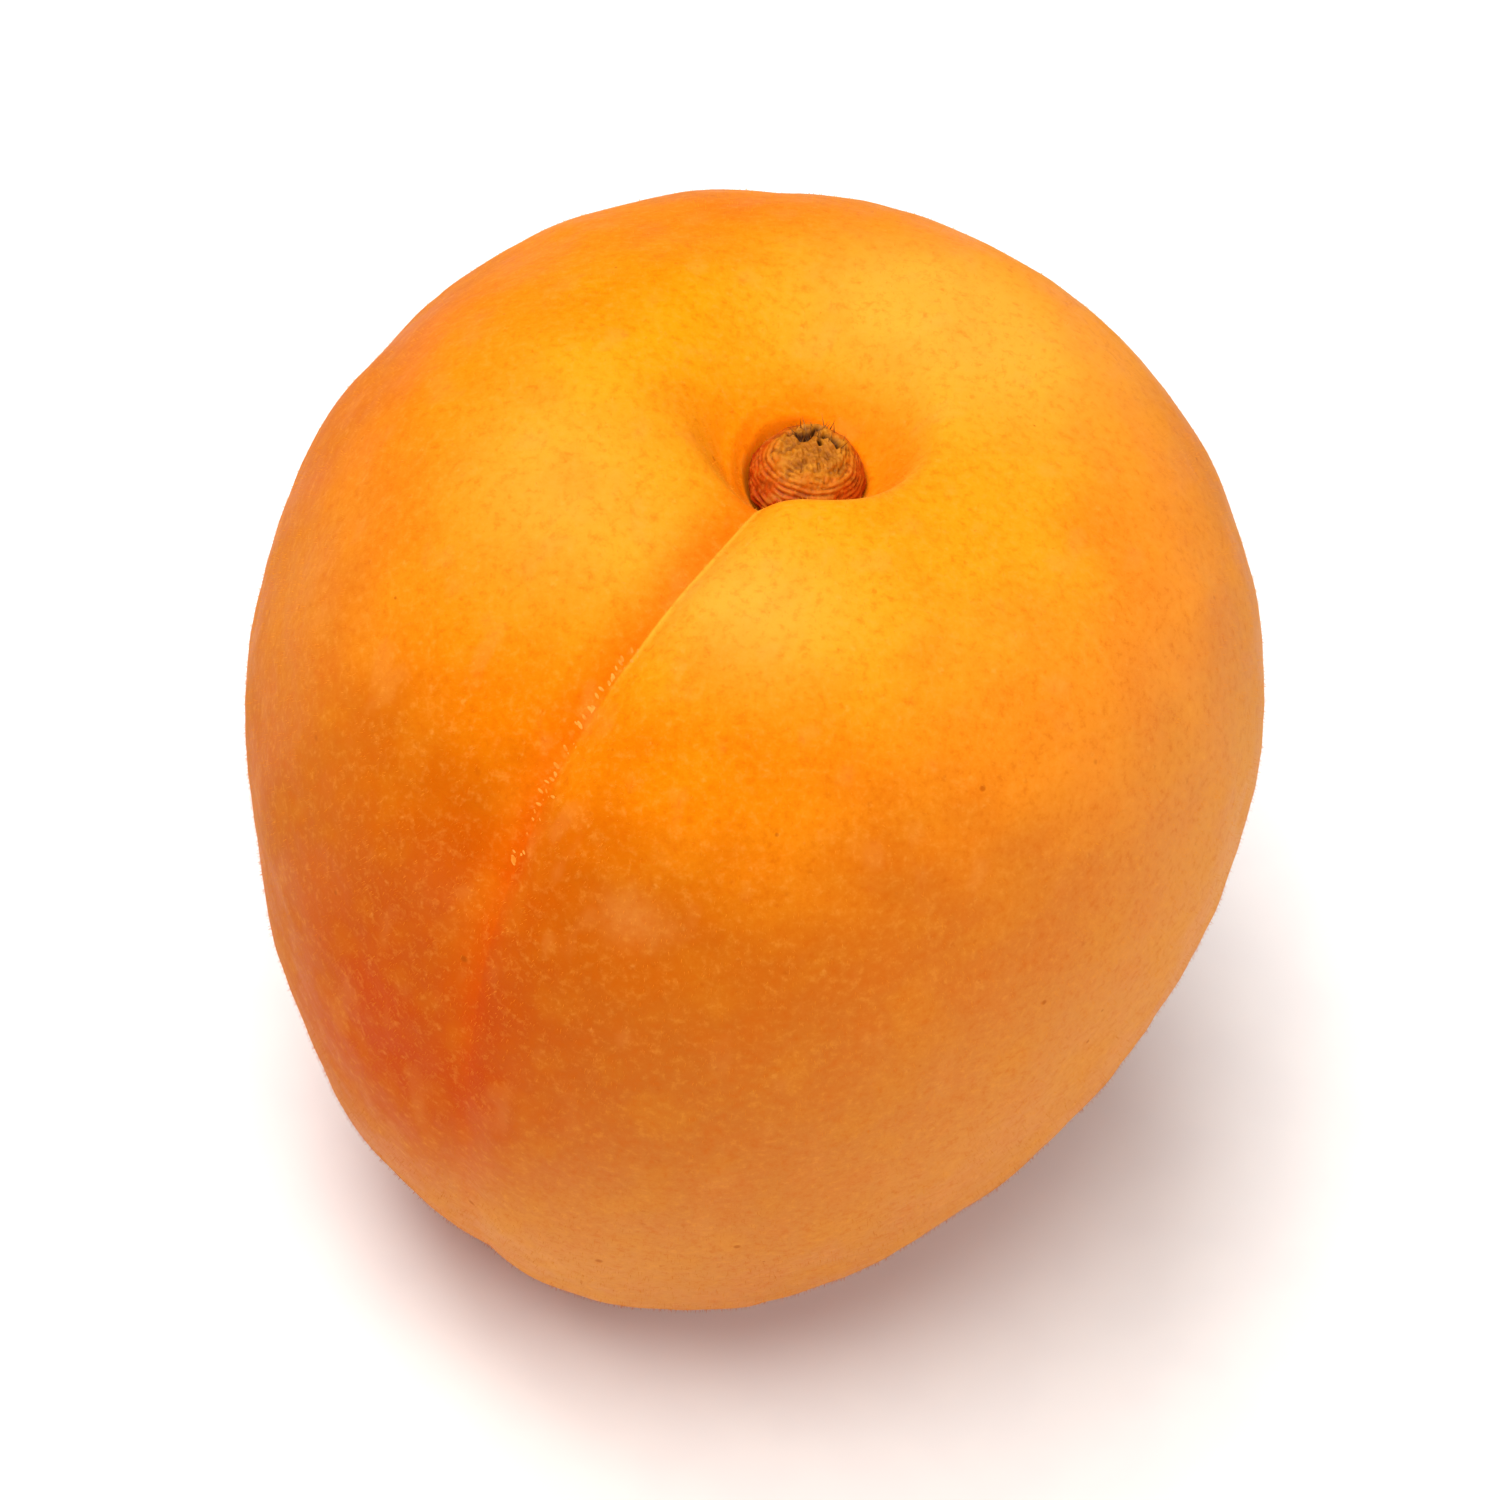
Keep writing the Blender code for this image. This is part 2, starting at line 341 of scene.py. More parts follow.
# Camera and light
CAMERA_ELEVATION = math.radians(52)
CAMERA_ROLL = math.radians(5)
CAMERA_DISTANCE = 0.83
FRAME_SPAN = 0.0750
SENSOR_WIDTH = 36.0
AIM_RIGHT = 0.00055
AIM_UP = 0.0005
FLOOR_REACH = 3.0
AIR_LIGHT = 0.30

# Lamps: place from the fruit, width, watts, tint
SOFT_BOXES = {
    "overhead_softbox": ((-0.08, -0.25, 0.77), 0.50, 4.5, (1.0, 0.99, 0.97)),
    "back_softbox": ((-0.20, 0.24, 0.73), 0.60, 4.2, (1.0, 0.99, 0.97)),
    "side_softbox": ((0.62, -0.32, 0.42), 0.50, 1.6, (1.0, 0.98, 0.95)),
    "left_softbox": ((-0.66, -0.10, 0.42), 0.50, 0.6, (1.0, 0.98, 0.95)),
}


def blend(start, end, share):
    return start + (end - start) * share


def girth(polar):
    """How wide the body is at an angle from the stem axis, as a share of its radius."""
    down = (1 - np.cos(polar)) / 2
    fullness = blend(STEM_END_FULLNESS, BLOSSOM_END_FULLNESS, down)
    return np.maximum(np.sin(polar), 0.0) ** fullness * (1 + SHOULDER_SWELL * np.cos(polar))


def body_points(polar, azimuth):
    """The plump body with no cavity or suture. Azimuth 0 is the suture's side."""
    down = (1 - np.cos(polar)) / 2
    towards_suture = np.cos(azimuth) * (1 + SUTURE_SIDE_FULLNESS * np.cos(azimuth))
    x = CHEEK_RADIUS * girth(polar) * np.sin(azimuth) - BLOSSOM_END_SIDE_SHIFT * down**2
    y = -SUTURE_RADIUS * girth(polar) * towards_suture - BLOSSOM_END_SHIFT * down**2
    return np.stack([x, y, HALF_HEIGHT * np.cos(polar)], axis=-1)


def angle_between(azimuth, polar, other_azimuth, other_polar):
    cosine = np.cos(polar) * math.cos(other_polar)
    cosine = cosine + np.sin(polar) * math.sin(other_polar) * np.cos(azimuth - other_azimuth)
    return np.arccos(np.clip(cosine, -1.0, 1.0))


def patch(polar, azimuth, centre_azimuth, centre_polar, spread):
    """1 at a place on the fruit, given in degrees, fading to 0 over its spread."""
    away = angle_between(azimuth, polar, math.radians(centre_azimuth), math.radians(centre_polar))
    return np.exp(-((away / math.radians(spread)) ** 2))


def patches(polar, azimuth, places):
    """A set of patches laid over one another: azimuth, angle from the stem axis, spread, strength."""
    total = sum(share * patch(polar, azimuth, side, along, spread) for side, along, spread, share in places)
    return np.clip(total, 0, 1)


def swelling(polar, azimuth):
    """The low bulges and flats that keep the fruit from being a plain turned form."""
    return sum(rise * patch(polar, azimuth, side, along, spread) for side, along, spread, rise in SWELLINGS)


def cavity_drop(x, y):
    """How far the stem end is sunk at places beside the stem axis."""
    reach = np.hypot(x, y)
    azimuth = np.arctan2(x, -y)
    behind = ((1 - np.cos(azimuth - LIP_AZIMUTH)) / 2) ** LIP_REACH
    pit_radius = blend(PIT_RADIUS_AT_LIP, PIT_RADIUS_BEHIND, behind)
    steepness = blend(PIT_STEEPNESS_AT_LIP, PIT_STEEPNESS_BEHIND, behind)
    pit = PIT_DEPTH * np.exp(-((reach / pit_radius) ** steepness))
    dip = DIP_DEPTH * np.exp(-((np.hypot(x, y - DIP_OFFSET) / DIP_RADIUS) ** 2))
    pocket = POCKET_DEPTH * np.exp(-((reach / POCKET_RADIUS) ** POCKET_STEEPNESS))
    fold_side = ((1 + np.cos(azimuth - FOLD_AZIMUTH)) / 2) ** FOLD_REACH
    fold = FOLD_HEIGHT * fold_side * np.exp(-(((reach - FOLD_RADIUS) / FOLD_WIDTH) ** 2))
    return pit + dip + pocket - fold


def suture_offset(polar, azimuth):
    """Distance across from the suture's line, positive on the steep lobe."""
    return CHEEK_RADIUS * girth(polar) * np.sin(azimuth - SUTURE_BEND * np.sin(2 * polar))


def suture_drop(polar, azimuth):
    """Depth of the crease at places on the body."""
    offset = suture_offset(polar, azimuth)
    stem_end = polar < math.pi / 2
    along = np.abs(np.cos(polar))
    end_depth = np.where(stem_end, SUTURE_DEPTH_AT_STEM, SUTURE_DEPTH_AT_BLOSSOM)
    depth = blend(SUTURE_DEPTH_AT_WAIST, end_depth, along**SUTURE_DEEPENING)
    steep_at_end = np.where(stem_end, SUTURE_STEEP_WIDTH_AT_STEM, SUTURE_STEEP_WIDTH)
    steep = blend(SUTURE_STEEP_WIDTH, steep_at_end, along)
    width = np.where(offset > 0, steep, SUTURE_GENTLE_WIDTH)
    started = 1 - np.exp(-((CHEEK_RADIUS * girth(polar) / SUTURE_START) ** 2))
    front = np.maximum(np.cos(azimuth), 0.0) ** SUTURE_SIDE_FADE
    return depth * started * front * np.exp(-((np.abs(offset) / width) ** SUTURE_SHARPNESS))


def own_points(polar, azimuth):
    """The skin in the fruit's own frame."""
    points = body_points(polar, azimuth)
    push = swelling(polar, azimuth) - suture_drop(polar, azimuth)
    points = points * (1 + push / np.linalg.norm(points, axis=-1))[..., None]
    upper = np.where(polar < math.pi / 2, 1.0, 0.0)
    points[..., 2] -= upper * cavity_drop(points[..., 0], points[..., 1])
    return points


def finished_points(polar, azimuth):
    """The skin with its low dents and ripples, calm around the stub."""
    own = own_points(polar, azimuth)
    relief = DENT_HEIGHT * smooth_noise(own, DENT_SIZE, seed=11)
    relief = relief + RIPPLE_HEIGHT * smooth_noise(own, RIPPLE_SIZE, seed=12)
    calm = 1 - np.exp(-((stem_reach(polar, own) / CALM_RADIUS) ** 2))
    outward = own / np.linalg.norm(own, axis=1)[:, None]
    return own + outward * (relief * calm)[:, None]


def stem_reach(polar, own):
    """Distance from the stem axis on the upper half, and far off below."""
    return np.where(polar < math.pi / 2, np.hypot(own[:, 0], own[:, 1]), FAR_OFF)


def resting_turn():
    yaw = Matrix.Rotation(SUTURE_YAW, 4, "Z")
    lean = Matrix.Rotation(LEAN_RIGHT, 4, "Y") @ Matrix.Rotation(-LEAN_BACK, 4, "X")
    return Matrix.Translation(BODY_CENTRE) @ lean @ yaw


def to_world(points):
    turn = np.array(resting_turn())
    return points @ turn[:3, :3].T + turn[:3, 3]


def pressed(points):
    """The underside eased onto the floor, as a soft fruit settles."""
    height = points[:, 2]
    points[:, 2] = (height + np.sqrt(height**2 + PRESS_SOFTNESS**2)) / 2
    return points


def smooth_noise(points, size, seed):
    """Soft, seeded noise from -1 to 1: a sum of slanted waves of one size."""
    random = np.random.default_rng(seed)
    total = np.zeros(len(points))
    for _ in range(NOISE_WAVES):
        direction = random.normal(size=3)
        direction /= np.linalg.norm(direction)
        length = size * random.uniform(*NOISE_LENGTHS)
        total += np.sin(points @ direction * (2 * math.pi / length) + random.uniform(0, 2 * math.pi))
    return total / math.sqrt(NOISE_WAVES)


def clouded(points, size, seed):
    """Octaves of soft noise, from 0 to 1, for blotches that are wider than the mesh's faces."""
    total = sum(
        strength * smooth_noise(points, size * scale, seed + step)
        for step, (scale, strength) in enumerate(CLOUD_OCTAVES)
    )
    return np.clip(0.5 + CLOUD_CONTRAST * total, 0, 1)


def sphere_mesh(name, segments, rings):
    """A closed sphere, its faces in a fixed order, and each vertex's polar angle and azimuth."""
    made = bmesh.new()
    bmesh.ops.create_uvsphere(made, u_segments=segments, v_segments=rings, radius=1)
    made.verts.index_update()
    places = np.array([corner.co[:] for corner in made.verts])
    faces = []
    for face in made.faces:
        corners = [corner.index for corner in face.verts]
        # A quad starts at an end of the diagonal that splits it, so its two triangles stay the same
        first = corners.index(min(corners[::2] if len(corners) == 4 else corners))
        faces.append(corners[first:] + corners[:first])
    made.free()
    mesh = bpy.data.meshes.new(name)
    mesh.from_pydata(places, [], sorted(faces))
    mesh.shade_smooth()
    polar = np.arctan2(np.hypot(places[:, 0], places[:, 1]), places[:, 2])
    azimuth = np.arctan2(places[:, 0], -places[:, 1])
    return mesh, polar, azimuth


def read_points(mesh):
    points = np.empty(len(mesh.vertices) * 3)
    mesh.vertices.foreach_get("co", points)
    return points.reshape(-1, 3)


def set_points(mesh, points):
    mesh.vertices.foreach_set("co", points.astype(np.float32).ravel())
    mesh.update()


def keep(mesh, name, values):
    """Stores one number per vertex for the materials to read."""
    layer = mesh.attributes.new(name, "FLOAT", "POINT")
    layer.data.foreach_set("value", np.ascontiguousarray(values, dtype=np.float32))


def stored(mesh, name):
    values = np.empty(len(mesh.vertices))
    mesh.attributes[name].data.foreach_get("value", values)
    return values


def link_piece(name, mesh):
    piece = bpy.data.objects.new(name, mesh)
    bpy.context.scene.collection.objects.link(piece)
    return piece


def make_skin():
    mesh, polar, azimuth = sphere_mesh("apricot_skin", SKIN_SEGMENTS, SKIN_RINGS)
    polar = np.radians(np.interp(polar / math.pi, RING_SHARES, RING_DEGREES))
    azimuth = azimuth - SEGMENT_CROWDING * np.sin(azimuth)
    own = finished_points(polar, azimuth)
    reach = stem_reach(polar, own)
    away_from_pole = np.linalg.norm(own - own_points(np.array([math.pi]), np.zeros(1)), axis=1)
    scar = np.exp(-((away_from_pole / SCAR_RADIUS) ** 2))
    points = pressed(to_world(own))
    points[:, 2] += SCAR_DEPTH * scar
    set_points(mesh, points)

    keep(mesh, "down", (1 - np.cos(polar)) / 2)
    keep(mesh, "stem_mm", reach / MM)
    offset = np.where(np.cos(azimuth) > 0, suture_offset(polar, azimuth), FAR_OFF)
    keep(mesh, "suture_mm", offset / MM)
    keep(mesh, "scar", scar)
    keep(mesh, "drift", clouded(own, DRIFT_SIZE, seed=31))
    keep(mesh, "cloud", clouded(own, CLOUD_SIZE, seed=41))
    keep(mesh, "streak", clouded(own * np.array(STREAK_SQUEEZE), STREAK_SIZE, seed=51))
    edge = BLUSH_EVEN_SHARE + BLUSH_RAGGED_SHARE * clouded(own, BLUSH_EDGE_SIZE, seed=61)
    # Blush mask: own red, partly painted shade and red light low on the left
    keep(mesh, "blush", patches(polar, azimuth, BLUSH_AND_SHADE_PATCHES) * np.clip(edge, 0, 1))
    # Pale mask: painted highlights on the shoulders and painted light on the left flank
    keep(mesh, "pale", patches(polar, azimuth, PAINTED_LIGHT_PATCHES))
    # Peach mask, mostly painted sheen on the right and low down
    keep(mesh, "peach", patches(polar, azimuth, PEACH_AND_SHEEN_PATCHES))
    # Mask of the painted highlight along the lip's edge
    lip_side = np.exp(-(((azimuth - LIP_AZIMUTH) / LIP_HIGHLIGHT_SPREAD) ** 4))
    keep(mesh, "lip_highlight", lip_side * np.exp(-(((reach - LIP_HIGHLIGHT_RADIUS) / LIP_HIGHLIGHT_WIDTH) ** 2)))
    return link_piece("apricot_skin", mesh)


def outline_length(outline):
    return np.linalg.norm(np.diff(np.array(outline), axis=0), axis=1).sum()


def smooth_outline(outline):
    """The outline resampled evenly along its length and rounded."""
    corners = np.array(outline)
    run = np.concatenate([[0], np.cumsum(np.linalg.norm(np.diff(corners, axis=0), axis=1))])
    even = np.linspace(0, run[-1], OUTLINE_STEPS)
    line = np.stack([np.interp(even, run, corners[:, side]) for side in (0, 1)], axis=1)
    for _ in range(OUTLINE_ROUNDS):
        line[1:-1] = (line[:-2] + 2 * line[1:-1] + line[2:]) / 4
    return line


def make_stub():
    mesh, polar, azimuth = sphere_mesh("stalk_stub_cork", STUB_SEGMENTS, STUB_RINGS)
    line = smooth_outline(STUB_OUTLINE)
    share = polar / math.pi * (OUTLINE_STEPS - 1)
    steps = np.arange(OUTLINE_STEPS)
    radius = np.interp(share, steps, line[:, 0])
    height = np.interp(share, steps, line[:, 1])
    slope = np.gradient(line, axis=0)
    out = np.interp(share, steps, -slope[:, 1])
    up = np.interp(share, steps, slope[:, 0])
    length = np.maximum(np.hypot(out, up), 1e-9)
    out, up = out / length, up / length

    round_x, round_y = np.sin(azimuth), -np.cos(azimuth)
    place = np.stack([radius * round_x, radius * round_y, height], axis=1)
    side = np.clip((radius / STUB_SIDE_RADIUS) ** 2, 0, 1)
    crown = np.clip(1 - (radius / STUB_CROWN_RADIUS) ** 4, 0, 1) * (height > STUB_HEIGHT / 2)

    arc = share / (OUTLINE_STEPS - 1) * outline_length(STUB_OUTLINE)
    wander = 1.6 * np.sin(2 * azimuth + 0.6) + 2.0 * smooth_noise(place, RIDGE_WANDER_SIZE, seed=21)
    ridge = np.sin(2 * math.pi * arc / RIDGE_SPACING + wander)
    broken = np.clip(0.65 + 0.55 * smooth_noise(place, RIDGE_BREAK_SIZE, seed=22), 0, 1.3)
    ridge = ridge * broken * (0.5 + 0.5 * side)
    crumble = 0.75 * smooth_noise(place, CRUMBLE_SIZE, seed=23)
    crumble = crumble + 0.45 * smooth_noise(place, CRUMBLE_SIZE / 3, seed=25)
    scales = np.maximum(smooth_noise(place, SCALE_SIZE, seed=24), 0)
    lift = RIDGE_HEIGHT * ridge + CRUMBLE_HEIGHT * (0.25 * side + crown) * crumble
    lift = lift + SCALE_HEIGHT * scales * side

    to_right = np.array([math.cos(SUTURE_YAW), -math.sin(SUTURE_YAW)])
    to_front = np.array([-math.sin(SUTURE_YAW), -math.cos(SUTURE_YAW)])
    pits = np.zeros(len(place))
    ragged = 1 + PIT_EDGE_RAGGEDNESS * smooth_noise(place, PIT_EDGE_SIZE, seed=26)
    for right, front, width in TORN_PITS:
        middle = to_right * right + to_front * front
        away = np.linalg.norm(place[:, :2] - middle, axis=1) * ragged
        pits = np.maximum(pits, np.exp(-((away / width) ** 3)) * (height > STUB_HEIGHT * 0.7))
    lift = lift - PIT_HOLE_DEPTH * pits

    oval = 1 + STUB_OUT_OF_ROUND * np.cos(2 * azimuth)
    x = (radius + lift * out) * round_x * oval
    y = (radius + lift * out) * round_y * oval
    z = height + lift * up + STUB_SEAT
    set_points(mesh, to_world(np.stack([x, y, z], axis=1)))

    keep(mesh, "arc_mm", arc / MM)
    keep(mesh, "ridge", ridge)
    keep(mesh, "hole", pits)
    keep(mesh, "crumble", crumble)
    return link_piece("stalk_stub_cork", mesh)


def put(tree, kind, inputs=None, **settings):
    """Adds a node. An input is a value, or the output of another node, which is linked."""
    node = tree.nodes.new(kind)
    for key, value in settings.items():
        setattr(node, key, value)
    for key, value in (inputs or {}).items():
        if isinstance(value, bpy.types.NodeSocket):
            tree.links.new(value, node.inputs[key])
        else:
            node.inputs[key].default_value = value
    return node


def number(tree, name):
    return put(tree, "ShaderNodeAttribute", attribute_name=name).outputs["Fac"]


def colour(tone):
    """A tone's red, green and blue as a colour. The output of a node passes through."""
    return (*tone, 1.0) if isinstance(tone, tuple) else tone


def sums(tree, operation, first, second=0.0):
    return put(tree, "ShaderNodeMath", {0: first, 1: second}, operation=operation).outputs[0]


def ranged(tree, value, low, high, to_low=0.0, to_high=1.0):
    """Maps a range of a number to another, with soft ends."""
    inputs = {"Value": value, "From Min": low, "From Max": high, "To Min": to_low, "To Max": to_high}
    return put(tree, "ShaderNodeMapRange", inputs, interpolation_type="SMOOTHSTEP").outputs[0]


def mixed(tree, share, first, second):
    inputs = {0: share, 6: colour(first), 7: colour(second)}
    return put(tree, "ShaderNodeMix", inputs, data_type="RGBA").outputs[2]


def laid(tree, under, tone, share, strength):
    """Lays a tone over another by a share from 0 to 1, at some strength."""
    return mixed(tree, sums(tree, "MULTIPLY", share, strength), under, tone)


def ramp(tree, value, stops):
    node = put(tree, "ShaderNodeValToRGB", {"Fac": value})
    band = node.color_ramp
    band.interpolation = "EASE"
    while len(band.elements) < len(stops):
        band.elements.new(0.5)
    for element, (place, tone) in zip(band.elements, stops):
        element.position = place
        element.color = colour(tone)
    return node.outputs["Color"]


def mottle(tree, place, size, detail=3.0, roughness=0.55):
    """Noise whose features are about one size across, in metres."""
    inputs = {"Vector": place, "Scale": 1 / size, "Detail": detail, "Roughness": roughness}
    return put(tree, "ShaderNodeTexNoise", inputs).outputs["Fac"]


def wavering(tree, place, size, tones):
    """Two tones that mingle in blotches of one size."""
    tone = mottle(tree, place, size, 2.0)
    return mixed(tree, ranged(tree, tone, 0.3, 0.7), *tones)


def specks(tree, place, spacing, radius, share):
    """Round specks of mixed sizes, one at most in each cell, in a share of the cells."""
    inputs = {"Vector": place, "Scale": 1 / spacing, "Randomness": 1.0}
    cells = put(tree, "ShaderNodeTexVoronoi", inputs, feature="F1")
    pick = put(tree, "ShaderNodeSeparateColor", {"Color": cells.outputs["Color"]})
    size = ranged(tree, pick.outputs[1], 0.0, 1.0, 0.55 * radius / spacing, 1.3 * radius / spacing)
    near = ranged(tree, sums(tree, "DIVIDE", cells.outputs["Distance"], size), 1.0, 0.35)
    chosen = sums(tree, "LESS_THAN", pick.outputs[0], share)
    return sums(tree, "MULTIPLY", near, chosen)


def new_material(name):
    material = bpy.data.materials.new(name)
    material.use_nodes = True
    tree = material.node_tree
    shader = tree.nodes["Principled BSDF"]
    return material, tree, shader


def skin_material():
    """Velvety apricot skin: yellow shoulders, orange cheeks, a red blush, down, pores and freckles, with
    painted highlights, sheen, light and shade.
    """
    material, tree, shader = new_material("apricot_velvet_skin")
    place = put(tree, "ShaderNodeTexCoord").outputs["Object"]
    down = number(tree, "down")
    stem = number(tree, "stem_mm")
    suture = number(tree, "suture_mm")

    level = sums(tree, "ADD", down, ranged(tree, number(tree, "drift"), 0.1, 0.9, -0.03, 0.03))
    # Flesh ramp: yellower at the stem end, and darker towards the blossom end partly as painted shade
    flesh = ramp(tree, level, FLESH_AND_SHADE_TONES)
    # Peach laid on, mostly painted sheen on the right and low down
    flesh = laid(tree, flesh, PEACH_AND_SHEEN, number(tree, "peach"), 0.6)
    # Blush: own red, and low on the left partly painted shade and painted red light from a neighbouring
    # fruit
    flesh = mixed(tree, number(tree, "blush"), flesh, BLUSH_AND_SHADE_RED)
    # Painted highlights on the shoulders and painted light on the left flank
    flesh = laid(tree, flesh, PAINTED_LIGHT_YELLOW, number(tree, "pale"), 0.7)
    # Stem pit: own deeper orange, made brighter as painted light against the pit's shade
    flesh = laid(tree, flesh, PIT_ORANGE_AND_LIGHT, ranged(tree, stem, 6.5, 3.4), 0.7)
    # Painted light: bright orange close round the stub, where the pocket lies in shade
    flesh = laid(tree, flesh, POCKET_PAINTED_LIGHT, ranged(tree, stem, 3.7, 3.0), 0.8)
    # Painted highlight along the lip's edge
    flesh = laid(tree, flesh, LIP_HIGHLIGHT_GOLD, number(tree, "lip_highlight"), 0.35)

    cloud = number(tree, "cloud")
    line = ranged(tree, sums(tree, "ABSOLUTE", suture), 1.1, 0.0)
    fading = ranged(tree, down, 0.60, 0.32, 0.4, 1.0)
    line_part = sums(tree, "MULTIPLY", ranged(tree, down, 0.12, 0.25), fading)
    line_part = sums(tree, "MULTIPLY", line_part, ranged(tree, down, 0.95, 0.6))
    line_break = ranged(tree, cloud, 0.3, 0.6, 0.4, 1.0)
    line = sums(tree, "MULTIPLY", sums(tree, "MULTIPLY", line, line_part), line_break)
    # Painted shade: deeper orange on the gentle slope beside the suture, on its upper part
    slope = sums(tree, "MULTIPLY", ranged(tree, suture, -3.0, -0.2), ranged(tree, suture, 0.25, 0.0))
    slope = sums(tree, "MULTIPLY", slope, ranged(tree, down, 0.6, 0.15))
    # Painted highlight: light yellow along the steep lobe's edge of the suture near the stem
    edge = sums(tree, "MULTIPLY", ranged(tree, suture, 0.02, 0.16), ranged(tree, suture, 0.55, 0.2))
    edge = sums(tree, "MULTIPLY", edge, ranged(tree, down, 0.10, 0.045))
    flesh = laid(tree, flesh, SLOPE_SHADE_ORANGE, slope, 0.72)
    flesh = laid(tree, flesh, LINE_RED, line, 0.50)
    flesh = laid(tree, flesh, EDGE_HIGHLIGHT_YELLOW, edge, 0.5)

    flesh = mixed(tree, ranged(tree, cloud, 0.45, 0.95, 0.0, 0.12), flesh, CLOUD_LIGHT)
    flesh = mixed(tree, ranged(tree, cloud, 0.55, 0.05, 0.0, 0.12), flesh, CLOUD_DEEP)
    grain = mottle(tree, place, GRAIN_SIZE, 3.0, 0.72)
    flesh = mixed(tree, ranged(tree, grain, 0.48, 0.78, 0.0, 0.30), flesh, GRAIN_LIGHT)
    flesh = mixed(tree, ranged(tree, grain, 0.52, 0.24, 0.0, 0.42), flesh, GRAIN_DEEP)
    streak = ranged(tree, number(tree, "streak"), 0.65, 1.0, 0.0, 0.14)
    flesh = mixed(tree, streak, flesh, STREAK_PALE)
    pore_tone = mixed(tree, ranged(tree, grain, 0.40, 0.60), PORE_DEEP, PORE_LIGHT)
    flesh = laid(tree, flesh, pore_tone, specks(tree, place, PORE_SPACING, PORE_RADIUS, 0.7), 0.16)
    freckles = specks(tree, place, FRECKLE_SPACING, FRECKLE_RADIUS, 0.8)
    flesh = laid(tree, flesh, FRECKLE_BROWN, freckles, 0.6)
    flesh = mixed(tree, ranged(tree, number(tree, "scar"), 0.15, 0.6), flesh, SCAR_BROWN)

    tree.links.new(flesh, shader.inputs["Base Color"])
    finish = ranged(tree, cloud, 0.2, 0.8, 0.50, 0.64)
    tree.links.new(finish, shader.inputs["Roughness"])
    shader.inputs["Specular IOR Level"].default_value = 0.035
    shader.inputs["Specular Tint"].default_value = colour((1.0, 0.55, 0.12))
    shader.inputs["Subsurface Weight"].default_value = 0.18
    shader.inputs["Subsurface Radius"].default_value = (1.0, 0.32, 0.08)
    shader.inputs["Subsurface Scale"].default_value = 0.0012
    shader.inputs["Sheen Weight"].default_value = 0.09
    shader.inputs["Sheen Roughness"].default_value = 0.30
    shader.inputs["Sheen Tint"].default_value = colour((1.0, 0.60, 0.06))

    fine = mottle(tree, place, GRAIN_SIZE, 2.0, 0.75)
    bump = put(tree, "ShaderNodeBump", {"Height": fine, "Strength": 0.35, "Distance": BUMP_HEIGHT})
    tree.links.new(bump.outputs["Normal"], shader.inputs["Normal"])
    return material


def cork_material():
    """Dry stalk: red-brown low down and darker at the root, olive-gold above, near black in the torn pits,
    with painted shade in its grooves and recesses.
    """
    material, tree, shader = new_material("stalk_cork")
    place = put(tree, "ShaderNodeTexCoord").outputs["Object"]
    ridge = number(tree, "ridge")
    crumble = number(tree, "crumble")
    blotch = mottle(tree, place, CORK_BLOTCH_SIZE, 3.0)
    level = ranged(tree, number(tree, "arc_mm"), 0.8, 4.8)
    level = sums(tree, "ADD", level, ranged(tree, blotch, 0.3, 0.7, -0.12, 0.12))
    cork = ramp(tree, level, CORK_TONES)
    cork = mixed(tree, ranged(tree, ridge, 0.1, 1.0, 0.0, 0.5), cork, RIDGE_GOLD)
    # Painted shade in the grooves between the rings
    cork = mixed(tree, ranged(tree, ridge, -0.1, -1.0, 0.0, 0.65), cork, GROOVE_SHADE_BROWN)
    crumbs = mottle(tree, place, CORK_CRUMB_SIZE, 4.0, 0.7)
    cork = mixed(tree, ranged(tree, crumbs, 0.52, 0.72, 0.0, 0.6), cork, CRUMB_GOLD)
    cork = mixed(tree, ranged(tree, crumbs, 0.47, 0.26, 0.0, 0.6), cork, CRUMB_BROWN)
    # Painted shade in the crumbled recesses
    cork = mixed(tree, ranged(tree, crumble, -0.15, -1.1, 0.0, 0.45), cork, RECESS_SHADE_BROWN)
    cork = mixed(tree, ranged(tree, crumble, 0.3, 1.3, 0.0, 0.5), cork, KNOB_OLIVE)
    cork = mixed(tree, ranged(tree, number(tree, "hole"), 0.10, 0.6), cork, PIT_BROWN)
    tree.links.new(cork, shader.inputs["Base Color"])
    finish = ranged(tree, crumbs, 0.3, 0.7, 0.32, 0.66)
    tree.links.new(finish, shader.inputs["Roughness"])
    shader.inputs["Specular IOR Level"].default_value = 0.35
    shader.inputs["Specular Tint"].default_value = colour((1.0, 0.65, 0.35))
    fibre = mottle(tree, place, CORK_FIBRE_SIZE, 4.0, 0.7)
    bump = put(tree, "ShaderNodeBump", {"Height": fibre, "Strength": 0.6, "Distance": BUMP_HEIGHT})
    tree.links.new(bump.outputs["Normal"], shader.inputs["Normal"])
    return material


def matt_material(name, roughness, specular):
    """A plain dry finish, and the place that its colours are worked out from."""
    material, tree, shader = new_material(name)
    shader.inputs["Roughness"].default_value = roughness
    shader.inputs["Specular IOR Level"].default_value = specular
    return material, tree, shader, put(tree, "ShaderNodeTexCoord").outputs["Object"]


def fleck_material():
    """Pale peach corky flecks that cross the suture like stitches."""
    material, tree, shader, place = matt_material("suture_fleck", 0.6, 0.08)
    tree.links.new(wavering(tree, place, FLECK_MOTTLE, FLECK_TONES), shader.inputs["Base Color"])
    return material


def floor_material():
    """Plain pale studio paper with the faintest tooth."""
    material, tree, shader, place = matt_material("studio_paper", 0.9, 0.1)
    tooth = mottle(tree, place, PAPER_MOTTLE, 1.0)
    tint = mixed(tree, ranged(tree, tooth, 0.3, 0.7), *PAPER_TONES)
    tree.links.new(tint, shader.inputs["Base Color"])
    return material


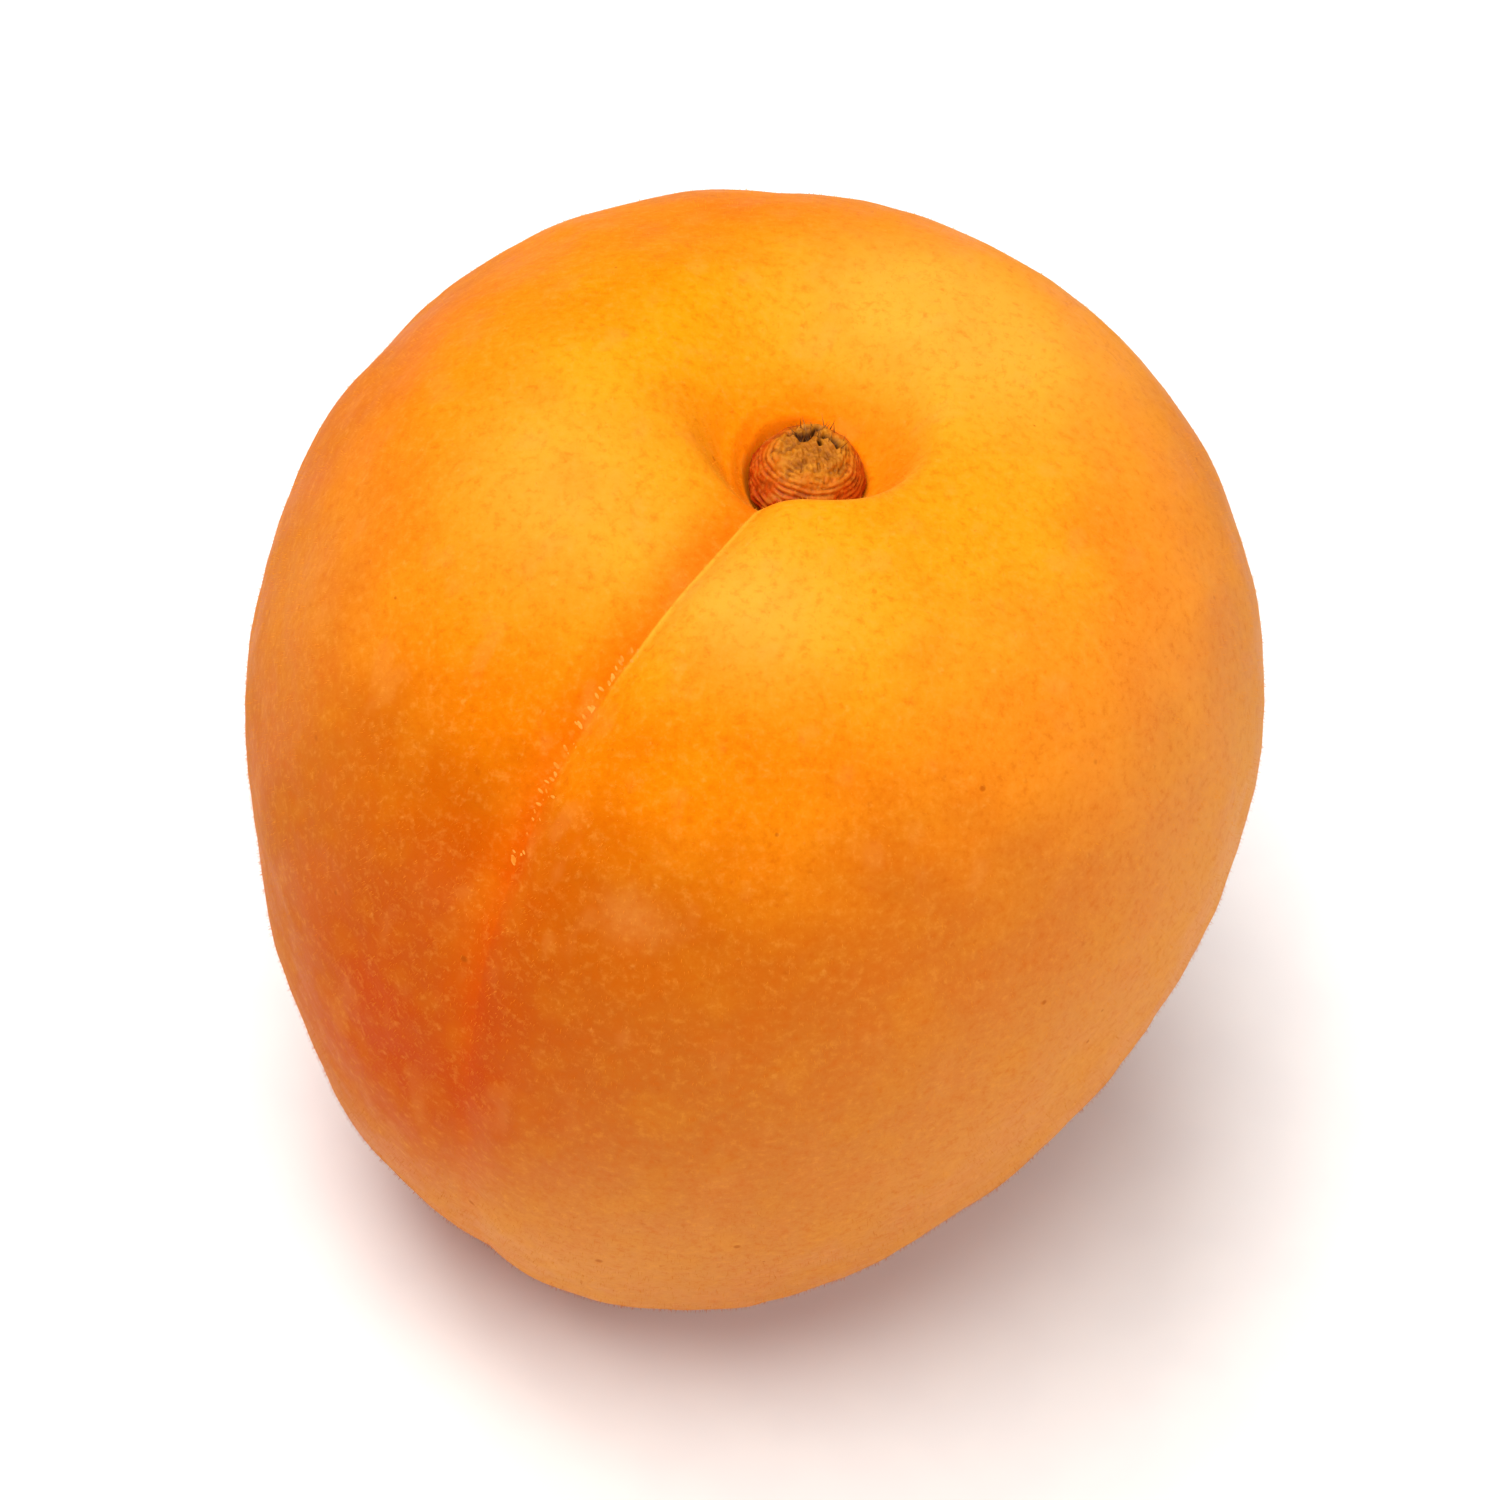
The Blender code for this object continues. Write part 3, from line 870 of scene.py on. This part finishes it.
def down_material():
    """Dry down, deeper in tone low on the fruit to follow the skin under it, whose darkening there is partly
    painted shade.
    """
    material, tree, shader, place = matt_material("apricot_down", 0.7, 0.15)
    deep = wavering(tree, place, DOWN_MOTTLE, DEEP_DOWN_TONES)
    light = wavering(tree, place, DOWN_MOTTLE, LIGHT_DOWN_TONES)
    height = put(tree, "ShaderNodeSeparateXYZ", {"Vector": place}).outputs["Z"]
    # Deeper tones low down follow the skin's tones, which are darker there partly as painted shade
    tint = mixed(tree, ranged(tree, height, *DOWN_TONE_HEIGHTS), deep, light)
    tree.links.new(tint, shader.inputs["Base Color"])
    return material


def fibre_material():
    """Dark, dry fibres where the stalk tore off."""
    material, tree, shader, place = matt_material("torn_fibre", 0.6, 0.3)
    tree.links.new(wavering(tree, place, FIBRE_MOTTLE, FIBRE_TONES), shader.inputs["Base Color"])
    return material


def scatter_tree(name, shape_kind, sizes):
    """A tree that sets a small shape on every point, turned by the points' own directions."""
    tree = bpy.data.node_groups.new(name, "GeometryNodeTree")
    tree.interface.new_socket("Geometry", in_out="INPUT", socket_type="NodeSocketGeometry")
    for label, value in sizes.items():
        kind = "NodeSocketMaterial" if isinstance(value, bpy.types.Material) else "NodeSocketFloat"
        socket = tree.interface.new_socket(label, in_out="INPUT", socket_type=kind)
        if kind == "NodeSocketFloat":
            socket.default_value = value
    tree.interface.new_socket("Geometry", in_out="OUTPUT", socket_type="NodeSocketGeometry")
    given = put(tree, "NodeGroupInput")
    if shape_kind == "seed":
        shape = put(tree, "GeometryNodeMeshIcoSphere", {"Radius": 1.0, "Subdivisions": 2})
    else:
        shape = put(
            tree,
            "GeometryNodeMeshCone",
            {"Vertices": 3, "Radius Top": 0.0, "Radius Bottom": 1.0, "Depth": 1.0},
            fill_type="NGON",
        )
    across = put(tree, "GeometryNodeInputNamedAttribute", {"Name": "across"}, data_type="FLOAT_VECTOR")
    outward = put(tree, "GeometryNodeInputNamedAttribute", {"Name": "outward"}, data_type="FLOAT_VECTOR")
    upright = put(tree, "FunctionNodeAlignRotationToVector", {"Vector": outward.outputs[0]}, axis="Z")
    turned = put(
        tree,
        "FunctionNodeAlignRotationToVector",
        {"Rotation": upright.outputs[0], "Vector": across.outputs[0]},
        axis="X",
        pivot_axis="Z",
    )
    smallest, largest = SCATTER_SCALES
    chance = put(
        tree,
        "FunctionNodeRandomValue",
        {"Min": smallest, "Max": largest, "Seed": SCATTER_SEED},
        data_type="FLOAT",
    )
    extents = put(
        tree,
        "ShaderNodeCombineXYZ",
        {"X": given.outputs["Length"], "Y": given.outputs["Width"], "Z": given.outputs["Height"]},
    )
    scaled = put(
        tree,
        "ShaderNodeVectorMath",
        {0: extents.outputs[0], "Scale": chance.outputs["Value"]},
        operation="SCALE",
    )
    placed = put(
        tree,
        "GeometryNodeInstanceOnPoints",
        {
            "Points": given.outputs["Geometry"],
            "Instance": shape.outputs["Mesh"],
            "Rotation": turned.outputs[0],
            "Scale": scaled.outputs[0],
        },
    )
    solid = put(tree, "GeometryNodeRealizeInstances", {"Geometry": placed.outputs[0]})
    dressed = put(
        tree,
        "GeometryNodeSetMaterial",
        {"Geometry": solid.outputs[0], "Material": given.outputs["Material"]},
    )
    put(tree, "NodeGroupOutput", {"Geometry": dressed.outputs[0]})
    return tree


def scattered(name, points, across, outward, shape_kind, sizes):
    """Runs a scatter tree on a set of points and keeps the result as a plain mesh."""
    seeds = bpy.data.meshes.new(name + "_points")
    seeds.from_pydata([tuple(point) for point in points], [], [])
    for label, vectors in (("across", across), ("outward", outward)):
        layer = seeds.attributes.new(label, "FLOAT_VECTOR", "POINT")
        layer.data.foreach_set("vector", np.ascontiguousarray(vectors, dtype=np.float32).ravel())
    carrier = link_piece(name + "_points", seeds)
    tree = scatter_tree(name, shape_kind, sizes)
    modifier = carrier.modifiers.new(name, "NODES")
    modifier.node_group = tree
    for item in tree.interface.items_tree:
        if item.in_out == "INPUT" and item.name in sizes:
            modifier[item.identifier] = sizes[item.name]
    ready = carrier.evaluated_get(bpy.context.evaluated_depsgraph_get())
    mesh = bpy.data.meshes.new_from_object(ready)
    mesh.name = name
    bpy.data.objects.remove(carrier)
    return link_piece(name, mesh)


def unit(vectors):
    return vectors / np.linalg.norm(vectors, axis=1)[:, None]


def skin_frame(polar, azimuth):
    """Points on the skin with their outward direction and the direction across the suture."""
    points = to_world(finished_points(polar, azimuth))
    across = unit(to_world(finished_points(polar, azimuth + SKIN_STEP)) - points)
    along = to_world(finished_points(polar + SKIN_STEP, azimuth)) - points
    return points, across, unit(np.cross(along, across))


def make_flecks():
    """The short pale marks that lie along the suture below the stem end."""
    random = np.random.default_rng(5)
    groups = random.choice(FLECK_GROUPS, FLECK_COUNT)
    polar = np.radians(groups + random.normal(0, FLECK_GROUP_SPREAD, FLECK_COUNT))
    line = SUTURE_BEND * np.sin(2 * polar)
    shift = random.normal(*FLECK_SIDE_MM, FLECK_COUNT) * MM
    azimuth = line + shift / (CHEEK_RADIUS * girth(polar))
    points, across, outward = skin_frame(polar, azimuth)
    along = np.cross(across, outward)
    across = across + along * random.normal(*FLECK_SLANT, FLECK_COUNT)[:, None]
    points = points - outward * FLECK_SINK
    length, width, height = FLECK_SIZE
    sizes = {"Length": length, "Width": width, "Height": height, "Material": fleck_material()}
    return scattered("suture_flecks", points, across, outward, "seed", sizes)


def hair_sizes(radius, length, material):
    return {"Length": radius, "Width": radius, "Height": length, "Material": material}


def make_down(skin):
    """Short, slanting down over the whole skin, but for the stalk's pocket and the resting spot."""
    mesh = skin.data
    mesh.calc_loop_triangles()
    corners = np.empty(len(mesh.loop_triangles) * 3, dtype=np.int32)
    mesh.loop_triangles.foreach_get("vertices", corners)
    corners = corners.reshape(-1, 3)
    places = read_points(mesh)
    first, second, third = (places[corners[:, side]] for side in range(3))
    facing = np.cross(second - first, third - first)
    area = np.linalg.norm(facing, axis=1)
    area[(first[:, 2] < DOWN_FLOOR) | (stored(mesh, "stem_mm")[corners[:, 0]] < DOWN_STEM_MM)] = 0

    random = np.random.default_rng(8)
    chosen = random.choice(len(corners), DOWN_COUNT, p=area / area.sum())
    mix = random.dirichlet((1, 1, 1), DOWN_COUNT)
    points = sum(mix[:, side, None] * places[corners[chosen, side]] for side in range(3))
    outward = facing[chosen] / area[chosen, None]
    falling = np.array([0, 0, -1.0]) + outward * outward[:, 2, None]
    lean = unit(outward + DOWN_DROOP * falling + random.normal(0, DOWN_UNEVENNESS, (DOWN_COUNT, 3)))
    across = unit(np.cross(lean, random.normal(size=(DOWN_COUNT, 3))))
    sizes = hair_sizes(DOWN_RADIUS, DOWN_LENGTH, down_material())
    return scattered("apricot_down", points, across, lean, "blade", sizes)


def make_fibres(stub):
    """Short torn fibres that stand on the stub's top."""
    mesh = stub.data
    places = read_points(mesh)
    arc = stored(mesh, "arc_mm")
    axis = np.array(resting_turn().to_3x3() @ Vector((0, 0, 1)))
    middle = np.array(resting_turn() @ Vector((0, 0, STUB_SEAT + STUB_HEIGHT)))
    random = np.random.default_rng(14)
    back = (places - middle)[:, 1] / MM
    start, end = FIBRE_BAND_MM
    weight = np.where((arc > start) & (arc < end), np.clip(back, FIBRE_LEAST_SHARE, None), 0.0)
    chosen = random.choice(len(places), FIBRE_COUNT, p=weight / weight.sum())
    points = places[chosen]
    radial = points - middle
    radial = radial - np.outer(radial @ axis, axis)
    lean = unit(axis + FIBRE_SPLAY * unit(radial) + random.normal(0, FIBRE_UNEVENNESS, (FIBRE_COUNT, 3)))
    across = unit(np.cross(lean, random.normal(size=(FIBRE_COUNT, 3))))
    points = points - FIBRE_ROOT * lean
    sizes = hair_sizes(FIBRE_RADIUS, FIBRE_LENGTH, fibre_material())
    return scattered("torn_fibres", points, across, lean, "blade", sizes)


def make_camera():
    """Looks down at the photograph's angle, with its small tilt."""
    scene = bpy.context.scene
    data = bpy.data.cameras.new("studio_camera")
    camera = bpy.data.objects.new("studio_camera", data)
    scene.collection.objects.link(camera)
    scene.camera = camera
    back = Vector((0, -math.cos(CAMERA_ELEVATION), math.sin(CAMERA_ELEVATION)))
    facing = (-back).to_track_quat("-Z", "Y").to_matrix().to_4x4()
    facing = facing @ Matrix.Rotation(CAMERA_ROLL, 4, "Z")
    aim = BODY_CENTRE + facing.to_3x3() @ Vector((AIM_RIGHT, AIM_UP, 0))
    camera.matrix_world = Matrix.Translation(aim + back * CAMERA_DISTANCE) @ facing
    data.sensor_width = SENSOR_WIDTH
    data.lens = SENSOR_WIDTH * CAMERA_DISTANCE / FRAME_SPAN
    data.clip_start = 0.05
    data.clip_end = 20


def soft_box(name, place, size, watts, tint):
    data = bpy.data.lights.new(name, "AREA")
    data.shape = "DISK"
    data.size = size
    data.energy = watts
    data.color = tint
    lamp = bpy.data.objects.new(name, data)
    bpy.context.scene.collection.objects.link(lamp)
    lamp.location = BODY_CENTRE + Vector(place)
    lamp.rotation_euler = (-Vector(place)).to_track_quat("-Z", "Y").to_euler()


def make_studio():
    scene = bpy.context.scene
    made = bmesh.new()
    bmesh.ops.create_grid(made, x_segments=1, y_segments=1, size=FLOOR_REACH)
    mesh = bpy.data.meshes.new("studio_floor")
    made.to_mesh(mesh)
    made.free()
    mesh.materials.append(floor_material())
    floor = link_piece("studio_floor", mesh)

    world = bpy.data.worlds.new("studio_air")
    scene.world = world
    world.use_nodes = True
    sky = world.node_tree.nodes["Background"]
    sky.inputs["Color"].default_value = colour((1.0, 1.0, 1.0))
    sky.inputs["Strength"].default_value = AIR_LIGHT
    for name, (place, size, watts, tint) in SOFT_BOXES.items():
        soft_box(name, place, size, watts, tint)
    scene.view_settings.view_transform = "Standard"
    scene.view_settings.look = "None"


def dress(piece, material=None, node=None):
    """Gives a piece its finish, unless its tree has done so, ties it to its body and hides the CAD node that
    it stands for.
    """
    if material:
        piece.data.materials.append(material)
    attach(piece, "root")
    if node:
        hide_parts(node)


def main():
    make_camera()
    make_studio()
    skin = make_skin()
    stub = make_stub()
    dress(skin, skin_material(), "fruit")
    dress(stub, cork_material(), "stalk_stub")
    dress(make_flecks())
    dress(make_down(skin))
    dress(make_fibres(stub))


main()
